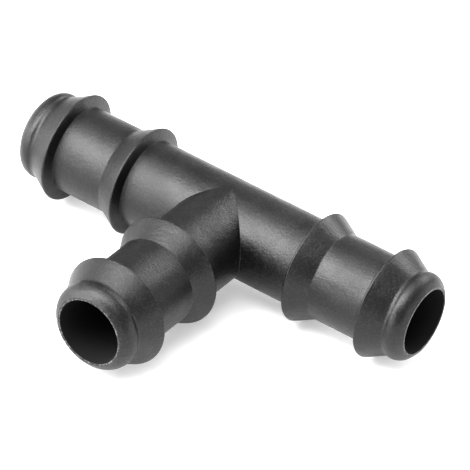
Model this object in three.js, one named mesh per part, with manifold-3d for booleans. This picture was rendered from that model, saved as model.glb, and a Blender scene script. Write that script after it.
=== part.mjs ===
// Barbed tee connector for flexible irrigation hose: one hollow moulding with three
// barbed legs of the same outline. The run lies along X and the branch points to -Y.
// The part rests on the crests of its barbs, with its origin under the middle of its
// bounding box. Millimetres, +Z up.
import * as THREE from 'three';
import { mergeVertices } from 'three/addons/utils/BufferGeometryUtils.js';
import Module from 'manifold-3d';

const wasm = await Module();
wasm.setup();

// ---- Driving dimensions ----
const runLength = 68.9; // end face to end face
const branchLength = 34.0; // run axis to the end face of the branch
const crestDiameter = 17.0; // widest part of every barb
const tubeDiameter = 13.5;
const boreDiameter = 10.1;
const mouthRounding = 0.1; // inner edge of each mouth
const rimWidth = 0.3; // flat ring round each mouth
const noseLength = 2.95; // end face to the neck, where the outer ramp starts
const noseCrown = 1.95; // end face to the widest part of the nose
const noseRise = 0.1; // widest part of the nose above the tube
const neckDepth = 0.15; // neck below the tube
const outerRampLength = 3.5;
const innerRampLength = 3.3;
const barbPitch = 12.5; // outer crest to inner crest
const crestRounding = 0.4;
const backFaceLean = 0.6; // how far a back face runs towards the junction as it falls

// ---- Derived sizes ----
const crestRadius = crestDiameter / 2;
const tubeRadius = tubeDiameter / 2;
const boreRadius = boreDiameter / 2;
const mouthRadius = boreRadius + mouthRounding;
const rimRadius = mouthRadius + rimWidth;
const noseRadius = tubeRadius + noseRise;
const neckRadius = tubeRadius - neckDepth;
const outerCrest = noseLength + outerRampLength; // from the end face
const innerCrest = outerCrest + barbPitch;
const runAxisShift = (branchLength - crestRadius) / 2; // centres the part's depth on Y = 0

// Smoothness of the round surfaces. A multiple of four puts an edge of every tube on
// its highest line, where the run and the branch meet.
const sidesAround = 48;
const noseSteps = 6;
const edgeSteps = 2;
const cutterOverrun = 1; // how far the bore cutters reach past the end faces

const blackPlastic = new THREE.MeshStandardMaterial({ color: 0x1c1c1d, roughness: 0.42, metalness: 0 });

// Points of an arc in the (radius, distance from the end face) plane.
function arcPoints(centre, radius, startAngle, endAngle, steps) {
  const points = [];
  for (let i = 0; i <= steps; i += 1) {
    const angle = startAngle + ((endAngle - startAngle) * i) / steps;
    points.push(new THREE.Vector2(centre.x + radius * Math.cos(angle), centre.y + radius * Math.sin(angle)));
  }
  return points;
}

// The nose: a convex arc from the rim of the end face to the crown, where it runs along
// the axis, then a straight fall to the neck.
function nosePoints() {
  const rise = noseRadius - rimRadius;
  const rounding = (rise * rise + noseCrown * noseCrown) / (2 * rise);
  const centre = new THREE.Vector2(noseRadius - rounding, noseCrown);
  const startAngle = Math.atan2(-centre.y, rimRadius - centre.x);
  const neck = new THREE.Vector2(neckRadius, noseLength);
  return [...arcPoints(centre, rounding, startAngle, 0, noseSteps), neck];
}

// One barb: a straight ramp from its foot, a rounded crest and a steep back face. Both
// faces are tangent to the crest's arc, which has a point exactly at the crest's radius.
function barbPoints(foot, crestDistance) {
  const base = new THREE.Vector2(tubeRadius, crestDistance + backFaceLean);
  const centre = new THREE.Vector2(crestRadius - crestRounding, crestDistance);
  const tangentAngle = (point, side) => {
    const away = point.clone().sub(centre);
    const swing = Math.acos(crestRounding / away.length());
    return Math.atan2(away.y, away.x) + side * swing;
  };
  const rise = arcPoints(centre, crestRounding, tangentAngle(foot, 1), 0, edgeSteps);
  const fall = arcPoints(centre, crestRounding, 0, tangentAngle(base, -1), edgeSteps);
  return [foot, ...rise, ...fall.slice(1), base];
}

// Outline of a leg from the axis at its end face to the foot of its inner barb,
// as points of (radius, distance from the junction's centre).
function legPoints(legLength) {
  const innerFoot = new THREE.Vector2(tubeRadius, innerCrest - innerRampLength);
  const points = [new THREE.Vector2(0, 0), ...nosePoints()];
  points.push(...barbPoints(points[points.length - 1], outerCrest).slice(1));
  points.push(...barbPoints(innerFoot, innerCrest));
  return points.map((point) => new THREE.Vector2(point.x, legLength - point.y));
}

// Outline of the cutter that opens one leg, with the rounded inner edge of its mouth.
function borePoints(legLength) {
  const centre = new THREE.Vector2(mouthRadius, mouthRounding);
  const outer = [new THREE.Vector2(0, -cutterOverrun), new THREE.Vector2(mouthRadius, -cutterOverrun)];
  const points = [...outer, ...arcPoints(centre, mouthRounding, -Math.PI / 2, -Math.PI, edgeSteps)];
  return points.map((point) => new THREE.Vector2(point.x, legLength - point.y));
}

// Closes a leg's outline on the axis at the junction's centre.
function endAtCentre(points) {
  const radius = points[points.length - 1].x;
  return [...points, new THREE.Vector2(radius, 0), new THREE.Vector2(0, 0)];
}

// Adds the opposite leg, so that the outline runs from one end face to the other.
function mirrored(points) {
  const opposite = points.map((point) => new THREE.Vector2(point.x, -point.y));
  return [...points, ...opposite.reverse()];
}

// Turns an outline about Y into a solid, then swings it about Z.
function turned(points, swing) {
  const geometry = new THREE.LatheGeometry([...points].reverse(), sidesAround);
  geometry.rotateZ(swing);
  geometry.deleteAttribute('normal');
  geometry.deleteAttribute('uv');
  const merged = mergeVertices(geometry);
  return new wasm.Manifold(new wasm.Mesh({
    numProp: 3,
    vertProperties: new Float32Array(merged.attributes.position.array),
    triVerts: new Uint32Array(merged.index.array),
  }));
}

function toGeometry(solid) {
  const mesh = solid.getMesh();
  const geometry = new THREE.BufferGeometry();
  geometry.setAttribute('position', new THREE.BufferAttribute(mesh.vertProperties, mesh.numProp));
  geometry.setIndex(new THREE.BufferAttribute(mesh.triVerts, 1));
  geometry.computeVertexNormals();
  return geometry;
}

// ---- The moulding ----
const alongX = -Math.PI / 2;
const alongMinusY = Math.PI;

const runOutside = turned(mirrored(legPoints(runLength / 2)), alongX);
const branchOutside = turned(endAtCentre(legPoints(branchLength)), alongMinusY);
const runBore = turned(mirrored(borePoints(runLength / 2)), alongX);
const branchBore = turned(endAtCentre(borePoints(branchLength)), alongMinusY);
const moulding = runOutside.add(branchOutside).subtract(runBore.add(branchBore));

const teeBody = new THREE.Mesh(toGeometry(moulding), blackPlastic);
teeBody.name = 'tee_body';
teeBody.position.set(0, runAxisShift, crestRadius);

const connector = new THREE.Group();
connector.add(teeBody);

export default connector;
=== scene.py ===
# Barbed hose tee, one hollow moulding in black plastic, on a pale studio floor
import math

import bmesh
import bpy
from mathutils import Matrix, Vector


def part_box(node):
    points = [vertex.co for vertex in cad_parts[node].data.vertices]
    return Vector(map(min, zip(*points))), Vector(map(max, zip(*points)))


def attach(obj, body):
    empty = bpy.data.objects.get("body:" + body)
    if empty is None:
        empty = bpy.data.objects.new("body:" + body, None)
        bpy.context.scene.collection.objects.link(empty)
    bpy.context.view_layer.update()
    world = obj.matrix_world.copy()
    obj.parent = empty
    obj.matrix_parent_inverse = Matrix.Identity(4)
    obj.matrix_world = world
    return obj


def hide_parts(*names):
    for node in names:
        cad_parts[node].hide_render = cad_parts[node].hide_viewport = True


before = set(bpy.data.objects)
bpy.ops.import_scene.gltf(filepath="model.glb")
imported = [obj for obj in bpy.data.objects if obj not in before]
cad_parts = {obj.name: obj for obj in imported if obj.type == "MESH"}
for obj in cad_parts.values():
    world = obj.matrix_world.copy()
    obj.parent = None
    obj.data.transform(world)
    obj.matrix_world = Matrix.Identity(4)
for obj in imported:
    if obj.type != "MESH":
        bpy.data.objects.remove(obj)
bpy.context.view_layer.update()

scene = bpy.context.scene
mm = 0.001
plasticIor = 1.49  # polypropylene and acrylic alike

# Where the frame puts things
low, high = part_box("tee_body")
crestRadius = (high.z - low.z) / 2
runHalf = (high.x - low.x) / 2
junction = Vector((0, high.y - crestRadius, low.z + crestRadius))  # where the three bores meet
branchLength = junction.y - low.y
print("frame: run", round(runHalf * 2 / mm, 2), "mm, branch", round(branchLength / mm, 2), "mm")


def hexToLinear(code):
    channels = [int(code[i:i + 2], 16) / 255 for i in (1, 3, 5)]
    return [c / 12.92 if c <= 0.04045 else ((c + 0.055) / 1.055) ** 2.4 for c in channels] + [1.0]


# An input goes by its socket's name, or by its number, as in i0, where names repeat
def addNode(tree, kind, settings=None, **inputs):
    node = tree.nodes.new(kind)
    for name, value in (settings or {}).items():
        setattr(node, name, value)
    for name, value in inputs.items():
        isNumber = name[0] == "i" and name[1:].isdigit()
        socket = node.inputs[int(name[1:]) if isNumber else name.replace("_", " ")]
        if isinstance(value, bpy.types.NodeSocket):
            tree.links.new(value, socket)
        else:
            socket.default_value = value
    return node


def emptyMaterial(name):
    material = bpy.data.materials.new(name)
    material.use_nodes = True
    material.node_tree.nodes.clear()
    return material


moulding = {
    "colour": "#040404",
    "paleFleck": "#18181a",      # on the high spots of the grain
    "paintedHighlightColour": "#6c6c6c",   # painted highlight, pale, on the lips of the mouths and faintly on the crests
    "grainSize": 0.30,           # mm, spark-eroded texture, drawn a little coarse so that it shows
    "grainDepth": 0.048,         # mm
    "fleckRange": (0.48, 0.64),  # heights of the grain between which a fleck comes in
    "flowSize": 4.5,             # mm, slow unevenness from cooling
    "flowDepth": 0.12,           # mm
    "flowRange": (0.3, 0.7),     # heights of the flow that take the first roughness and the last
    "roughness": (0.33, 0.45),
}


# Black polypropylene as it leaves a lightly textured mould: near black, with broad soft
# highlights that waver a little where the wall shrank on cooling, and a painted highlight
# on the lips and crests
def mouldedPolypropylene():
    material = emptyMaterial("moulded_polypropylene")
    tree = material.node_tree
    place = addNode(tree, "ShaderNodeTexCoord").outputs["Object"]
    grain = addNode(tree, "ShaderNodeTexNoise", Vector=place, Scale=1 / (moulding["grainSize"] * mm),
                    Detail=3.0, Roughness=0.55).outputs["Fac"]
    flow = addNode(tree, "ShaderNodeTexNoise", Vector=place, Scale=1 / (moulding["flowSize"] * mm),
                   Detail=2.0, Roughness=0.5, Distortion=0.6).outputs["Fac"]
    flecks = addNode(tree, "ShaderNodeMapRange", Value=grain, From_Min=moulding["fleckRange"][0],
                     From_Max=moulding["fleckRange"][1]).outputs["Result"]
    tone = addNode(tree, "ShaderNodeMix", {"data_type": "RGBA"}, i0=flecks,
                   i6=hexToLinear(moulding["colour"]), i7=hexToLinear(moulding["paleFleck"])).outputs[2]
    # Painted highlight: a pale colour on the lips and crests, broken up by the grain flecks
    paintedHighlight = addNode(tree, "ShaderNodeAttribute", {"attribute_name": "paintedHighlight"}).outputs["Fac"]
    paintedHighlightSpecks = addNode(tree, "ShaderNodeMath", {"operation": "MULTIPLY"}, i0=paintedHighlight,
                     i1=flecks).outputs["Value"]
    toneWithPaintedHighlight = addNode(tree, "ShaderNodeMix", {"data_type": "RGBA"}, i0=paintedHighlightSpecks, i6=tone,
                   i7=hexToLinear(moulding["paintedHighlightColour"])).outputs[2]
    sheen = addNode(tree, "ShaderNodeMapRange", Value=flow,
                    From_Min=moulding["flowRange"][0], From_Max=moulding["flowRange"][1],
                    To_Min=moulding["roughness"][0], To_Max=moulding["roughness"][1]).outputs["Result"]
    waver = addNode(tree, "ShaderNodeBump", Height=flow, Strength=1.0,
                    Distance=moulding["flowDepth"] * mm).outputs["Normal"]
    bumps = addNode(tree, "ShaderNodeBump", Height=grain, Strength=1.0,
                    Distance=moulding["grainDepth"] * mm, Normal=waver).outputs["Normal"]
    shader = addNode(tree, "ShaderNodeBsdfPrincipled", Base_Color=toneWithPaintedHighlight, Roughness=sheen,
                     IOR=plasticIor, Normal=bumps)
    addNode(tree, "ShaderNodeOutputMaterial", Surface=shader.outputs["BSDF"])
    return material


corePinMattPaintedLighter = {
    # painted lighter than the moulding's own colour, to lift the shade inside the bore
    "colour": "#1e1e1e",
    "roughness": 0.75,
    "specularLevel": 0.2,  # low, so that the bore stays dull
    "grainSize": 0.5,      # mm
    "grainDepth": 0.02,    # mm
}


# The same plastic where a dull core pin made the bore: matt, with hardly any highlight, and painted lighter
# than the outside to lift the shade in the bore
def corePinPolypropylenePaintedLighter():
    material = emptyMaterial("core_pin_polypropylene_painted_lighter")
    tree = material.node_tree
    place = addNode(tree, "ShaderNodeTexCoord").outputs["Object"]
    grain = addNode(tree, "ShaderNodeTexNoise", Vector=place, Scale=1 / (corePinMattPaintedLighter["grainSize"] * mm),
                    Detail=2.0).outputs["Fac"]
    bumps = addNode(tree, "ShaderNodeBump", Height=grain, Strength=1.0,
                    Distance=corePinMattPaintedLighter["grainDepth"] * mm).outputs["Normal"]
    shader = addNode(tree, "ShaderNodeBsdfPrincipled", Base_Color=hexToLinear(corePinMattPaintedLighter["colour"]),
                     Roughness=corePinMattPaintedLighter["roughness"], IOR=plasticIor,
                     Specular_IOR_Level=corePinMattPaintedLighter["specularLevel"], Normal=bumps)
    addNode(tree, "ShaderNodeOutputMaterial", Surface=shader.outputs["BSDF"])
    return material


# In millimetres. A corner of the nose is its distance from the end face, its radius from
# the axis and its rounding.
tee = {
    "tubeDiameter": 13.5,       # between the barbs and at the junction
    "boreDiameter": 10.1,
    "mouthRounding": 0.1,
    "rimRadius": 5.45,          # outer edge of the flat ring round a mouth
    "rimRounding": 0.12,
    "noseShoulder": (1.05, 6.86, 2.1),
    "noseBack": (2.30, 6.84, 0.80),
    "neck": (2.95, 6.62, 0.80),
    "outerRamp": 3.5,
    "innerRamp": 3.3,
    "barbPitch": 12.5,          # outer crest to inner crest
    "crestRounding": 0.25,
    "backLean": 0.6,            # how far a back face runs towards the junction as it falls
    "baseRounding": 0.06,       # where a back face meets the tube
    "footRounding": 0.6,        # where an inner ramp leaves the tube
    "creaseRounding": 0.06,     # where the branch meets the run
    "partingHeight": 0.014,     # flash line left where the mould closed
    "partingWidth": 0.24,
    "gateHeight": 0.12,         # scar of the gate, at the back of the run
    "gateSize": (1.1, 0.7),     # half length and half height
    "gateEdge": (0.9, 1.25),    # its side falls between these shares of that size
    "lipHighlightWidth": 0.35,        # how far round a mouth's lip the painted highlight reaches
    "crestHighlightWidth": 0.12,      # and how far below a crest
    "crestHighlightStrength": 0.04,   # share of the painted highlight at a lip
    "sides": 160,
    "arcSteps": 8,              # in each rounding
    "longestStep": 0.9,         # between rings on a straight stretch
    "junctionSteps": 40,        # rings from the crease to the inner barb
    "junctionCrowding": 1.6,    # above 1 draws them together at the crease
    "boreSteps": 12,
    "boreCrowding": 1.3,
}
barbRadius = crestRadius / mm  # the frame gives this and the lengths of the legs
tubeRadius = tee["tubeDiameter"] / 2
boreRadius = tee["boreDiameter"] / 2
lipRadius = boreRadius + tee["mouthRounding"]
tubeBehindBarb = 0.5    # mm of the tube that the outline takes in beyond the inner barb
lineClearance = 1.2     # half widths of the parting line that stay free of other corners
blendRounds = 4
lipRings = 4            # the outer finish goes on for these over the lip
weldDistance = 1e-4     # mm
sharpAngle = 40         # degrees
tiny = 1e-6


def arc(centre, radius, startAngle, endAngle, steps):
    angles = [startAngle + (endAngle - startAngle) * i / steps for i in range(steps + 1)]
    return [Vector((centre.x + radius * math.cos(a), centre.y + radius * math.sin(a))) for a in angles]


# An outline's corners are (distance from the end face, radius, rounding); each rounding
# becomes an arc that touches both sides of its corner.
def roundCorners(corners, steps):
    outline = [Vector(corners[0][:2])]
    for before, corner, after in zip(corners, corners[1:], corners[2:]):
        point, rounding = Vector(corner[:2]), corner[2]
        if rounding == 0:
            outline.append(point)
            continue
        toBefore = (Vector(before[:2]) - point).normalized()
        toAfter = (Vector(after[:2]) - point).normalized()
        halfOpening = toBefore.angle(toAfter) / 2
        centre = point + (toBefore + toAfter).normalized() * rounding / math.sin(halfOpening)
        start = point + toBefore * rounding / math.tan(halfOpening) - centre
        end = point + toAfter * rounding / math.tan(halfOpening) - centre
        swing = start.angle(end)
        for i in range(steps + 1):
            t = i / steps
            away = start * math.sin((1 - t) * swing) + end * math.sin(t * swing)
            outline.append(centre + away / math.sin(swing))
    outline.append(Vector(corners[-1][:2]))
    return outline


# A barb from its base on the side of the junction, over the rounded crest, to the foot
# of its ramp
def barbCorners(crest, footCorner):
    rounding = tee["crestRounding"]
    base, foot = Vector((crest + tee["backLean"], tubeRadius)), Vector(footCorner[:2])
    centre = Vector((crest, barbRadius - rounding))
    angles = []
    for point, side in ((base, 1), (foot, -1)):
        away = point - centre
        angles.append(math.atan2(away.y, away.x) + side * math.acos(rounding / away.length))
    start, end = angles[0] % math.tau, angles[1] % math.tau
    top = [(p.x, p.y, 0) for p in arc(centre, rounding, start, end, tee["arcSteps"])]
    return [(*base, tee["baseRounding"]), *top, footCorner]


# Puts more points where a straight stretch is long
def splitLong(outline, longest):
    points = [outline[0]]
    for a, b in zip(outline, outline[1:]):
        parts = max(1, math.ceil((b - a).length / longest))
        points += [a.lerp(b, i / parts) for i in range(1, parts + 1)]
    return points


# The whole outline of a leg, from the tube behind the inner barb, round the mouth, into
# the bore
def legOutline():
    outerCrest = tee["neck"][0] + tee["outerRamp"]
    innerCrest = outerCrest + tee["barbPitch"]
    start = innerCrest + tee["backLean"] + tubeBehindBarb
    corners = [(start, tubeRadius, 0)]
    corners += barbCorners(innerCrest, (innerCrest - tee["innerRamp"], tubeRadius, tee["footRounding"]))
    corners += barbCorners(outerCrest, tee["neck"])
    corners += [tee["noseBack"], tee["noseShoulder"], (0, tee["rimRadius"], tee["rimRounding"])]
    corners += [(0, boreRadius, tee["mouthRounding"]), (start, boreRadius, 0)]
    return splitLong(roundCorners(corners, tee["arcSteps"]), tee["longestStep"])


# The corners of a ring, as angles from the top. Both edges of the parting line get one.
def ringAngles():
    around = [math.tau * i / tee["sides"] for i in range(tee["sides"])]
    halfLine = tee["partingWidth"] / tee["tubeDiameter"]  # in radians
    for side in (math.pi / 2, 3 * math.pi / 2):
        around = [a for a in around if abs(a - side) < tiny or abs(a - side) > halfLine * lineClearance]
        around += [side - halfLine, side + halfLine]
    return sorted(around)


# How far the parting line stands proud at an angle measured from the top
def partingRise(angle, radius):
    offLine = abs(abs(math.remainder(angle, math.tau)) - math.pi / 2) * radius
    return tee["partingHeight"] * max(0, 1 - offLine / (tee["partingWidth"] / 2))


# The gate's scar, a rectangle with well-rounded corners on the back of the run. The point
# is in millimetres from the junction.
def gateRise(point):
    if point.y < 0:
        return 0
    across, up = point.x / tee["gateSize"][0], point.z / tee["gateSize"][1]
    share = (across ** 4 + up ** 4) ** 0.25
    top, foot = tee["gateEdge"]
    return tee["gateHeight"] * min(1, max(0, (foot - share) / (foot - top)))


# Moves a point onto the smooth union of the two tubes, raised by rise. The rounding of
# the crease fades out at the crown, where the two tubes are tangent.
def ontoBlend(point, rise):
    for _ in range(blendRounds):
        runOff, branchOff = math.hypot(point.y, point.z), math.hypot(point.x, point.z)
        runOut, branchOut = Vector((0, point.y, point.z)) / runOff, Vector((point.x, 0, point.z)) / branchOff
        toRun, toBranch = runOff - tubeRadius, branchOff - tubeRadius
        reach = 2 * tee["creaseRounding"] * (1 - runOut.dot(branchOut))
        if point.y > -tiny or (reach < tiny and toRun <= toBranch):
            height, outward = toRun, runOut
        elif reach < tiny:
            height, outward = toBranch, branchOut
        else:
            share = min(1, max(0, 0.5 + 0.5 * (toBranch - toRun) / reach))
            height = toRun * share + toBranch * (1 - share) - reach * share * (1 - share)
            outward = runOut * share + branchOut * (1 - share)
        point = point - outward * (height - rise) / outward.length_squared
    return point


# How much painted highlight an outline point takes: the lips of the mouth, and faintly each crest
def paintedHighlightShare(point):
    fromLip = Vector((point.x, point.y - lipRadius)).length
    atLip = 1 - fromLip / tee["lipHighlightWidth"]
    atCrest = 1 - (barbRadius - point.y) / tee["crestHighlightWidth"]
    return max(0, atLip, tee["crestHighlightStrength"] * atCrest)


# One leg as rings of points. The first ring lies on the mitre that it shares with its
# neighbours outside, the last on the mitre of the bores.
def legRings(length, out, side, isBranch, outline, angles):
    up = Vector((0, 0, 1))
    spokes = [(angle, up * math.cos(angle) + side * math.sin(angle)) for angle in angles]

    def mitre(angle, radius):
        reach = radius * math.sin(angle)
        return abs(reach) if isBranch else max(0, reach)

    rings = []
    first = length - outline[0].x
    for j in range(tee["junctionSteps"]):
        t = (j / tee["junctionSteps"]) ** tee["junctionCrowding"]
        ring = []
        for angle, spoke in spokes:
            begin = mitre(angle, tubeRadius)
            point = out * (begin + (first - begin) * t) + spoke * tubeRadius
            ring.append(ontoBlend(point, partingRise(angle, tubeRadius) + gateRise(point)))
        rings.append(ring)
    mouth = next(i for i, p in enumerate(outline) if p.x <= tiny)
    for i, p in enumerate(outline):
        ring = []
        for angle, spoke in spokes:
            rise = partingRise(angle, p.y) if i < mouth else 0
            ring.append(out * (length - p.x) + spoke * (p.y + rise))
        rings.append(ring)
    for j in range(1, tee["boreSteps"] + 1):
        t = 1 - (1 - j / tee["boreSteps"]) ** tee["boreCrowding"]
        ring = []
        for angle, spoke in spokes:
            end = mitre(angle, boreRadius)
            ring.append(out * (first + (end - first) * t) + spoke * boreRadius)
        rings.append(ring)
    # shares of the painted highlight along the outline
    paintedHighlightShares = [0] * tee["junctionSteps"] + [paintedHighlightShare(p) for p in outline] + [0] * tee["boreSteps"]
    return rings, paintedHighlightShares, tee["junctionSteps"] + mouth


def buildTee():
    outline, angles = legOutline(), ringAngles()
    legs = (
        (runHalf / mm, Vector((1, 0, 0)), Vector((0, -1, 0)), False),
        (runHalf / mm, Vector((-1, 0, 0)), Vector((0, -1, 0)), False),
        (branchLength / mm, Vector((0, -1, 0)), Vector((1, 0, 0)), True),
    )
    mesh = bmesh.new()
    # per vertex share of the painted highlight on the lips and crests
    paintedHighlight = mesh.verts.layers.float.new("paintedHighlight")
    for length, out, side, isBranch in legs:
        rings, paintedHighlightShares, outerCount = legRings(length, out, side, isBranch, outline, angles)
        rows = [[mesh.verts.new(p) for p in ring] for ring in rings]
        for row, paintedShare in zip(rows, paintedHighlightShares):
            for vert in row:
                vert[paintedHighlight] = paintedShare
        for r, (near, far) in enumerate(zip(rows, rows[1:])):
            for i in range(len(angles)):
                k = (i + 1) % len(angles)
                face = mesh.faces.new((near[i], near[k], far[k], far[i]))
                face.material_index = 0 if r < outerCount + lipRings else 1
                face.smooth = True
    bmesh.ops.remove_doubles(mesh, verts=mesh.verts, dist=weldDistance)
    bmesh.ops.recalc_face_normals(mesh, faces=mesh.faces)
    bmesh.ops.transform(mesh, matrix=Matrix.Translation(junction) @ Matrix.Scale(mm, 4), verts=mesh.verts)
    openEdges = sum(len(edge.link_faces) != 2 for edge in mesh.edges)
    data = bpy.data.meshes.new("moulded_tee")
    mesh.to_mesh(data)
    mesh.free()
    data.set_sharp_from_angle(angle=math.radians(sharpAngle))
    data.materials.append(mouldedPolypropylene())
    data.materials.append(corePinPolypropylenePaintedLighter())
    piece = bpy.data.objects.new("moulded_tee", data)
    scene.collection.objects.link(piece)
    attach(piece, "root")
    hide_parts("tee_body")
    print("moulding:", len(data.vertices), "vertices,", openEdges, "open edges")


buildTee()

floorLook = {
    "colour": "#cbcbcb",
    "roughness": 0.7,
    "glow": 0.45,
    "size": 6.0,  # m
}


# Opal acrylic lit from beneath, as a product table is: an even white that only keeps a
# faint contact shadow
def opalAcrylic():
    material = emptyMaterial("opal_acrylic")
    tree = material.node_tree
    shader = addNode(tree, "ShaderNodeBsdfPrincipled", Base_Color=hexToLinear(floorLook["colour"]),
                     Roughness=floorLook["roughness"], IOR=plasticIor,
                     Emission_Color=(1, 1, 1, 1), Emission_Strength=floorLook["glow"])
    addNode(tree, "ShaderNodeOutputMaterial", Surface=shader.outputs["BSDF"])
    return material


def buildFloor():
    mesh = bmesh.new()
    bmesh.ops.create_grid(mesh, x_segments=8, y_segments=8, size=floorLook["size"] / 2)
    data = bpy.data.meshes.new("studio_floor")
    mesh.to_mesh(data)
    mesh.free()
    data.materials.append(opalAcrylic())
    floor = bpy.data.objects.new("studio_floor", data)
    scene.collection.objects.link(floor)
    print("floor: ready")


buildFloor()

# Each soft box: where it stands round the tee in degrees, its size in metres, and how
# bright its cloth is. With the floor's own glow they bring the floor above white.
softBoxes = {
    "key_box": {"azimuth": -42, "elevation": 51, "size": (0.61, 0.61), "brightness": 10.8},
    "lower_strip": {"azimuth": -33, "elevation": 30, "size": (0.80, 0.30), "brightness": 11.1},
    "front_strip": {"azimuth": -20, "elevation": 8, "size": (0.93, 0.25), "brightness": 6.7},
    "front_left_strip": {"azimuth": -60, "elevation": 9, "size": (0.65, 0.28), "brightness": 8.1},
    "front_top_box": {"azimuth": 0, "elevation": 62, "size": (0.65, 0.39), "brightness": 9.4},
    "overhead_box": {"azimuth": 0, "elevation": 89, "size": (0.73, 0.73), "brightness": 4.9},
    "back_box": {"azimuth": 172, "elevation": 34, "size": (0.72, 0.39), "brightness": 8.8},
    "left_box": {"azimuth": -90, "elevation": 45, "size": (0.61, 0.61), "brightness": 2.5},
    "left_card": {"azimuth": -90, "elevation": 12, "size": (0.73, 0.43), "brightness": 2.1},
    "right_card": {"azimuth": 112, "elevation": 7.5, "size": (1.65, 0.24), "brightness": 3.3},
}
boxDistance = 1.0  # m


# Which way a thing lies from the tee: azimuth goes from the front, -Y, towards +X
def direction(azimuth, elevation):
    around, up = math.radians(azimuth), math.radians(elevation)
    return Vector((math.sin(around) * math.cos(up), -math.cos(around) * math.cos(up), math.sin(up)))


def addSoftBoxes():
    for name, box in softBoxes.items():
        data = bpy.data.lights.new(name, "AREA")
        data.shape = "RECTANGLE"
        data.size, data.size_y = box["size"]
        data.energy = box["brightness"] * math.pi * data.size * data.size_y  # W
        light = bpy.data.objects.new(name, data)
        toBox = direction(box["azimuth"], box["elevation"])
        light.location = junction + toBox * boxDistance
        light.rotation_euler = toBox.to_track_quat("Z", "Y").to_euler()
        scene.collection.objects.link(light)
    print("lights:", len(softBoxes), "soft boxes")


addSoftBoxes()

room = {
    "walls": 0.9,           # how bright the white walls are, low down
    "ceiling": 0.8,
    "blend": (0.1, 0.35),   # heights, from 0 level with the tee to 1 overhead, where one becomes the other
}


def buildRoom():
    world = bpy.data.worlds.new("studio_room")
    world.use_nodes = True
    tree = world.node_tree
    tree.nodes.clear()
    place = addNode(tree, "ShaderNodeTexCoord").outputs["Generated"]
    height = addNode(tree, "ShaderNodeSeparateXYZ", Vector=place).outputs["Z"]
    glow = addNode(tree, "ShaderNodeMapRange", {"interpolation_type": "SMOOTHSTEP"}, Value=height,
                   From_Min=room["blend"][0], From_Max=room["blend"][1],
                   To_Min=room["walls"], To_Max=room["ceiling"]).outputs["Result"]
    wall = addNode(tree, "ShaderNodeBackground", Color=(1, 1, 1, 1), Strength=glow)
    addNode(tree, "ShaderNodeOutputWorld", Surface=wall.outputs["Background"])
    scene.world = world
    print("room: lit")


buildRoom()

viewpoint = {
    "azimuth": 31.56,      # degrees
    "elevation": 36.96,
    "roll": 6.41,
    "distance": 0.5771,    # m
    "focalLength": 302.3,  # mm
    "sensorWidth": 36,     # mm
    "across": 1.115,       # mm, how far the camera is shifted off the junction
    "up": -1.539,
}


def placeCamera():
    back = direction(viewpoint["azimuth"], viewpoint["elevation"])
    right = Vector((0, 0, 1)).cross(back).normalized()
    up = back.cross(right)
    data = bpy.data.cameras.new("product_camera")
    data.lens = viewpoint["focalLength"]
    data.sensor_width = viewpoint["sensorWidth"]
    data.clip_start = 0.01
    camera = bpy.data.objects.new("product_camera", data)
    spot = junction + back * viewpoint["distance"] + (right * viewpoint["across"] + up * viewpoint["up"]) * mm
    roll = Matrix.Rotation(math.radians(viewpoint["roll"]), 3, "Z")
    turned = Matrix((right, up, back)).transposed() @ roll
    camera.matrix_world = Matrix.Translation(spot) @ turned.to_4x4()
    scene.collection.objects.link(camera)
    scene.camera = camera
    print("camera: in place")


placeCamera()

scene.view_settings.view_transform = "Standard"
scene.view_settings.look = "None"
scene.view_settings.gamma = 0.8  # a contrasty print
